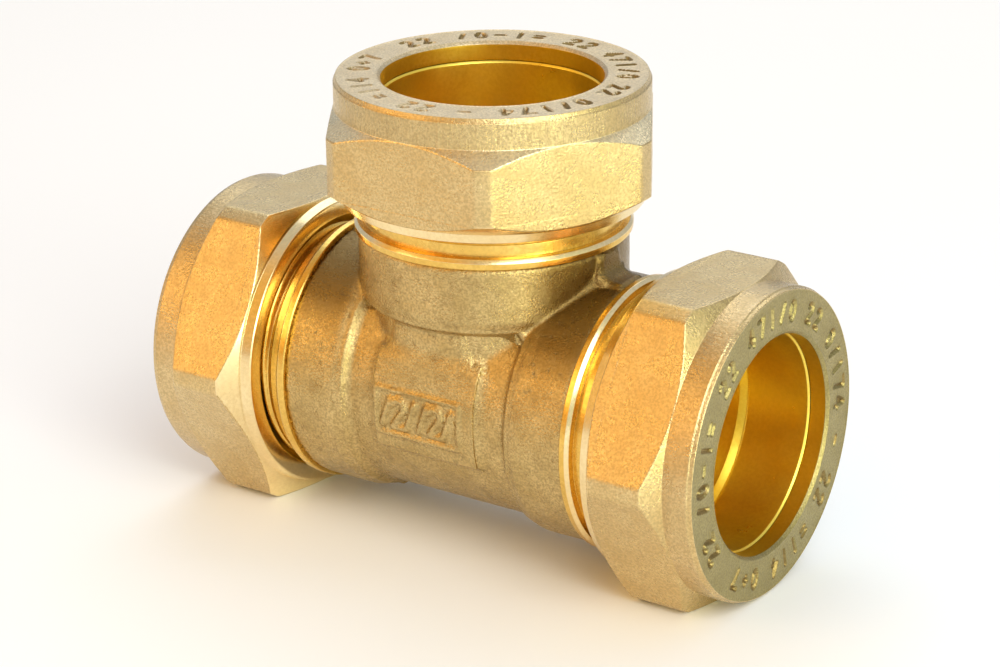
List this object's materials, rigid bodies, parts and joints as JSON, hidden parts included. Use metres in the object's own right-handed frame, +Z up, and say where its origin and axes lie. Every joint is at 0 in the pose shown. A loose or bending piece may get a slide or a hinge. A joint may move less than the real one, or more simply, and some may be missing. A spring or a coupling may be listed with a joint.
{
  "type": "compression tee fitting",
  "caption": "Equal tee pipe fitting in brass with three ports, each closed by a hexagonal compression nut over a loose olive ring, for 22 mm tube.",
  "frame": {"origin": "on the resting plane, under the point where the three port axes cross", "axes": "+X along the run, +Z up along the branch, -Y towards the marked side of the body"},
  "size_m": [0.0658, 0.036, 0.0489],
  "materials": {
    "forged_brass": "matte as forged and blasted, turned rings polished",
    "nut_brass": "satin, blasted",
    "olive_brass": "turned, bright"
  },
  "bodies": {
    "tee_body": {"tee_body": "forged_brass"},
    "olive_right": {"olive_right": "olive_brass"},
    "run_nut_right": {"run_nut_right": "nut_brass"},
    "olive_left": {"olive_left": "olive_brass"},
    "run_nut_left": {"run_nut_left": "nut_brass"},
    "olive_branch": {"olive_branch": "olive_brass"},
    "branch_nut": {"branch_nut": "nut_brass"}
  },
  "joints": [
    {"name": "right_nut_travel", "type": "slide", "parent": "tee_body", "child": "olive_right", "axis": [1, 0, 0], "range_m": [0, 0.00545]},
    {"name": "right_nut_turn", "type": "hinge", "parent": "olive_right", "child": "run_nut_right", "pos_m": [0.0265, 0, 0.016], "axis": [1, 0, 0], "range_deg": [0, 1080]},
    {"name": "left_nut_travel", "type": "slide", "parent": "tee_body", "child": "olive_left", "axis": [-1, 0, 0], "range_m": [0, 0.00545]},
    {"name": "left_nut_turn", "type": "hinge", "parent": "olive_left", "child": "run_nut_left", "pos_m": [-0.0265, 0, 0.016], "axis": [-1, 0, 0], "range_deg": [0, 1080]},
    {"name": "branch_nut_travel", "type": "slide", "parent": "tee_body", "child": "olive_branch", "axis": [0, 0, 1], "range_m": [0, 0.00545]},
    {"name": "branch_nut_turn", "type": "hinge", "parent": "olive_branch", "child": "branch_nut", "pos_m": [0, 0, 0.0425], "axis": [0, 0, 1], "range_deg": [0, 1080]}
  ],
  "couplings": [
    {"joint": "right_nut_travel", "follows": "right_nut_turn", "m_per_rad": 0.00028871},
    {"joint": "left_nut_travel", "follows": "left_nut_turn", "m_per_rad": 0.00028871},
    {"joint": "branch_nut_travel", "follows": "branch_nut_turn", "m_per_rad": 0.00028871}
  ]
}
